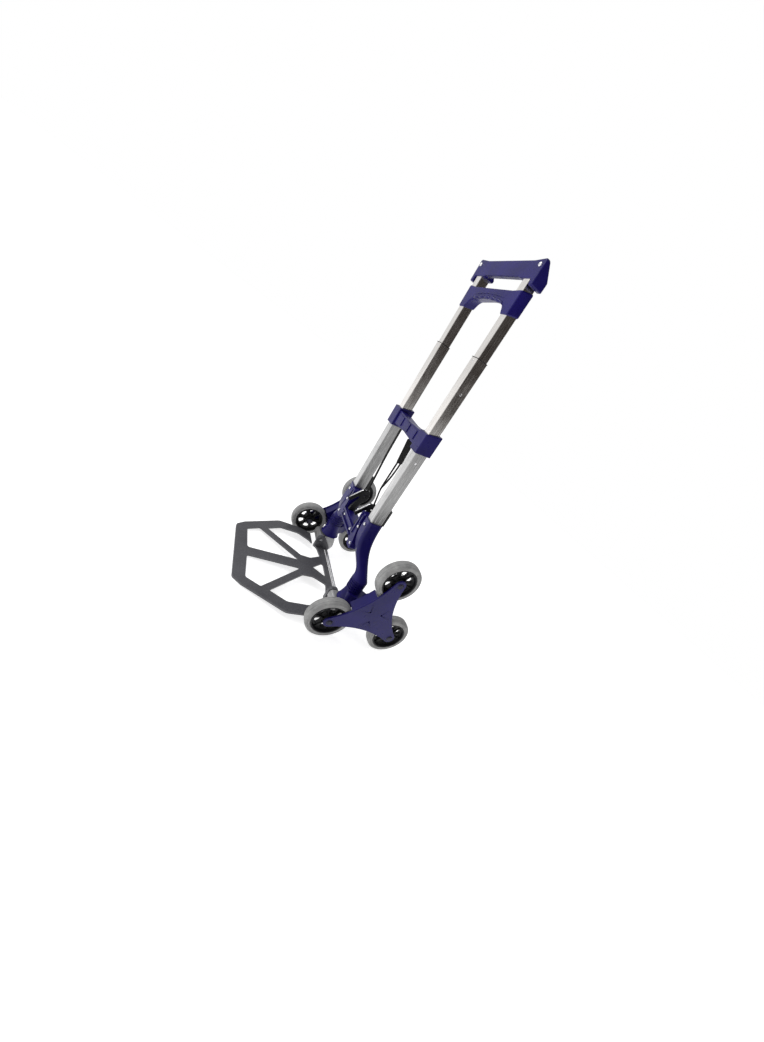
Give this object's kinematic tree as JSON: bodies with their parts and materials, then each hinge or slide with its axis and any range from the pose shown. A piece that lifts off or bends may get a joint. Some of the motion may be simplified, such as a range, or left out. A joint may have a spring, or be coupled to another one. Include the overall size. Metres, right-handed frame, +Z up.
{
  "type": "stair climbing trolley",
  "caption": "Folding hand truck with telescopic handle, fold-up toe plate and three-wheel star sets on each side for climbing stairs.",
  "frame": {"origin": "on the floor, at the middle of the whole trolley's box at rest", "axes": "+Z up; +Y towards the user behind the rails, so the toe plate points along -Y; +X to the right as seen from the load side, and the trolley is symmetric about X = 0 but for its elastic straps"},
  "size_m": [0.511, 0.5056, 0.9722],
  "materials": {
    "blue_plastic": "moulded, satin-gloss indigo blue",
    "satin_aluminium": "satin extrusion",
    "polished_aluminium": "polished",
    "steel": "bright zinc",
    "black_steel": "blackened",
    "black_webbing": "woven elastic",
    "grey_casting": "cast grey",
    "plate_grey": "textured dark grey",
    "grey_tyre": "grey solid rubber",
    "black_plastic": "moulded black",
    "black_rubber": "black rubber and webbing"
  },
  "bodies": {
    "frame": {"lower_tube_left": "satin_aluminium", "lower_tube_right": "satin_aluminium", "tube_bushes": "black_plastic", "mid_bracket": "blue_plastic", "cross_member": "blue_plastic", "cross_member_screws": "steel", "leg_left": "blue_plastic", "leg_right": "blue_plastic", "pivot_pins": "steel", "hinge_block_left": "grey_casting", "hinge_block_right": "grey_casting", "rear_pads": "black_rubber", "cord_hook_left": "black_plastic", "cord_hook_right": "black_plastic", "elastic_straps": "black_webbing"},
    "toe_plate": {"toe_plate": "plate_grey", "plate_rear_rod": "steel", "plate_hinge_pins": "steel"},
    "middle_stage": {"middle_tube_left": "polished_aluminium", "middle_tube_right": "polished_aluminium", "middle_collars": "black_plastic"},
    "handle": {"inner_tube_left": "polished_aluminium", "inner_tube_right": "polished_aluminium", "handle_grip": "blue_plastic", "handle_screws": "steel", "release_springs": "steel"},
    "release_grip": {"release_grip": "blue_plastic", "release_rods": "steel"},
    "wheel_arm_left": {"wheel_bracket_left": "blue_plastic", "star_axle_left": "steel"},
    "star_left": {"star_inner_plate_left": "blue_plastic", "star_outer_plate_left": "blue_plastic", "star_body_left": "blue_plastic", "star_bolts_left": "black_steel"},
    "wheel_front_left": {"tyre_front_left": "grey_tyre", "wheel_hub_front_left": "black_plastic"},
    "wheel_top_left": {"tyre_top_left": "grey_tyre", "wheel_hub_top_left": "black_plastic"},
    "wheel_rear_left": {"tyre_rear_left": "grey_tyre", "wheel_hub_rear_left": "black_plastic"},
    "upper_lock_pin_left": {"upper_lock_pin_left": "steel"},
    "lower_lock_pin_left": {"lower_lock_pin_left": "steel"},
    "wheel_arm_right": {"wheel_bracket_right": "blue_plastic", "star_axle_right": "steel"},
    "star_right": {"star_inner_plate_right": "blue_plastic", "star_outer_plate_right": "blue_plastic", "star_body_right": "blue_plastic", "star_bolts_right": "black_steel"},
    "wheel_front_right": {"tyre_front_right": "grey_tyre", "wheel_hub_front_right": "black_plastic"},
    "wheel_top_right": {"tyre_top_right": "grey_tyre", "wheel_hub_top_right": "black_plastic"},
    "wheel_rear_right": {"tyre_rear_right": "grey_tyre", "wheel_hub_rear_right": "black_plastic"},
    "upper_lock_pin_right": {"upper_lock_pin_right": "steel"},
    "lower_lock_pin_right": {"lower_lock_pin_right": "steel"}
  },
  "joints": [
    {"name": "plate_fold", "type": "hinge", "parent": "frame", "child": "toe_plate", "pos_m": [0, 0.01688, 0.06257], "axis": [-1, 0, 0], "range_deg": [0, 90]},
    {"name": "middle_slide", "type": "slide", "parent": "frame", "child": "middle_stage", "axis": [0, 0.1013, -0.9949], "range_m": [0, 0.186]},
    {"name": "handle_slide", "type": "slide", "parent": "middle_stage", "child": "handle", "axis": [0, 0.1013, -0.9949], "range_m": [0, 0.092]},
    {"name": "release_slide", "type": "slide", "parent": "handle", "child": "release_grip", "axis": [0, -0.1013, 0.9949], "range_m": [0, 0.012], "stiffness_N_per_m": 800, "springref_m": -0.005, "deforming": ["release_springs"]},
    {"name": "wheel_swing_left", "type": "hinge", "parent": "frame", "child": "wheel_arm_left", "pos_m": [-0.16, 0.04695, 0.10282], "axis": [0, 0.1013, -0.9949], "range_deg": [0, 60]},
    {"name": "star_spin_left", "type": "hinge", "parent": "wheel_arm_left", "child": "star_left", "pos_m": [-0.23, 0.08722, 0.122], "axis": [1, 0, 0], "continuous": true},
    {"name": "wheel_spin_front_left", "type": "hinge", "parent": "star_left", "child": "wheel_front_left", "pos_m": [-0.2315, -0.01584, 0.0625], "axis": [1, 0, 0], "continuous": true},
    {"name": "wheel_spin_top_left", "type": "hinge", "parent": "star_left", "child": "wheel_top_left", "pos_m": [-0.2315, 0.08722, 0.241], "axis": [1, 0, 0], "continuous": true},
    {"name": "wheel_spin_rear_left", "type": "hinge", "parent": "star_left", "child": "wheel_rear_left", "pos_m": [-0.2315, 0.19028, 0.0625], "axis": [1, 0, 0], "continuous": true},
    {"name": "upper_pin_slide_left", "type": "slide", "parent": "handle", "child": "upper_lock_pin_left", "axis": [1, 0, 0], "range_m": [0, 0.003]},
    {"name": "lower_pin_slide_left", "type": "slide", "parent": "middle_stage", "child": "lower_lock_pin_left", "axis": [1, 0, 0], "range_m": [0, 0.003]},
    {"name": "wheel_swing_right", "type": "hinge", "parent": "frame", "child": "wheel_arm_right", "pos_m": [0.16, 0.04695, 0.10282], "axis": [0, -0.1013, 0.9949], "range_deg": [0, 60]},
    {"name": "star_spin_right", "type": "hinge", "parent": "wheel_arm_right", "child": "star_right", "pos_m": [0.23, 0.08722, 0.122], "axis": [1, 0, 0], "continuous": true},
    {"name": "wheel_spin_front_right", "type": "hinge", "parent": "star_right", "child": "wheel_front_right", "pos_m": [0.2315, -0.01584, 0.0625], "axis": [1, 0, 0], "continuous": true},
    {"name": "wheel_spin_top_right", "type": "hinge", "parent": "star_right", "child": "wheel_top_right", "pos_m": [0.2315, 0.08722, 0.241], "axis": [1, 0, 0], "continuous": true},
    {"name": "wheel_spin_rear_right", "type": "hinge", "parent": "star_right", "child": "wheel_rear_right", "pos_m": [0.2315, 0.19028, 0.0625], "axis": [1, 0, 0], "continuous": true},
    {"name": "upper_pin_slide_right", "type": "slide", "parent": "handle", "child": "upper_lock_pin_right", "axis": [-1, 0, 0], "range_m": [0, 0.003]},
    {"name": "lower_pin_slide_right", "type": "slide", "parent": "middle_stage", "child": "lower_lock_pin_right", "axis": [-1, 0, 0], "range_m": [0, 0.003]}
  ],
  "couplings": [
    {"joint": "wheel_swing_left", "follows": "plate_fold", "ratio": 0.66667},
    {"joint": "upper_pin_slide_left", "follows": "release_slide", "ratio": 0.25},
    {"joint": "lower_pin_slide_left", "follows": "release_slide", "ratio": 0.25},
    {"joint": "wheel_swing_right", "follows": "plate_fold", "ratio": 0.66667},
    {"joint": "upper_pin_slide_right", "follows": "release_slide", "ratio": 0.25},
    {"joint": "lower_pin_slide_right", "follows": "release_slide", "ratio": 0.25}
  ]
}
